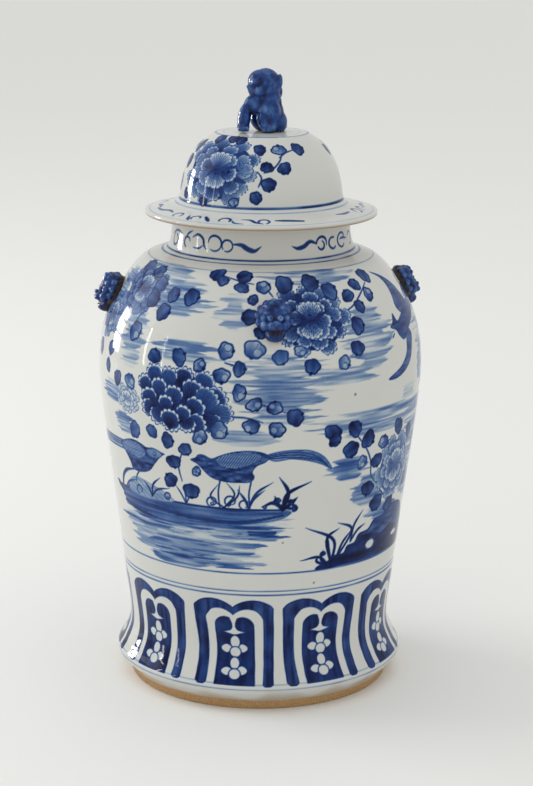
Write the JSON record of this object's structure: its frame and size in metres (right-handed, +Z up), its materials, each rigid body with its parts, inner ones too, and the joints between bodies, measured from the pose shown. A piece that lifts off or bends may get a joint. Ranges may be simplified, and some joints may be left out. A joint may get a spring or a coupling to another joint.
{
  "type": "lidded jar",
  "caption": "Lidded baluster jar in blue and white glazed porcelain, with a brimmed dome lid, a seated lion finial and lion masks on the shoulder.",
  "frame": {"origin": "centre of the foot ring's resting face", "axes": "+Z up the jar's axis towards the lid; the front lion mask faces -Y; +X to the right of someone who looks at the front"},
  "size_m": [0.32, 0.322, 0.599],
  "materials": {
    "blue_white_glaze": "gloss",
    "cobalt_glaze": "gloss",
    "bare_clay": "matt"
  },
  "bodies": {
    "jar": {"jar_lower_section": "blue_white_glaze", "jar_upper_section": "blue_white_glaze", "jar_neck": "blue_white_glaze", "lion_mask_front": "cobalt_glaze", "lion_mask_right": "cobalt_glaze", "lion_mask_back": "cobalt_glaze", "lion_mask_left": "cobalt_glaze"},
    "lid": {"lid_shell": "blue_white_glaze", "lid_locating_ring": "bare_clay", "finial_lion": "cobalt_glaze"}
  },
  "joints": [
    {"name": "lid_lift", "type": "slide", "parent": "jar", "child": "lid", "axis": [0, 0, 1], "range_m": [0, 0.2]}
  ]
}
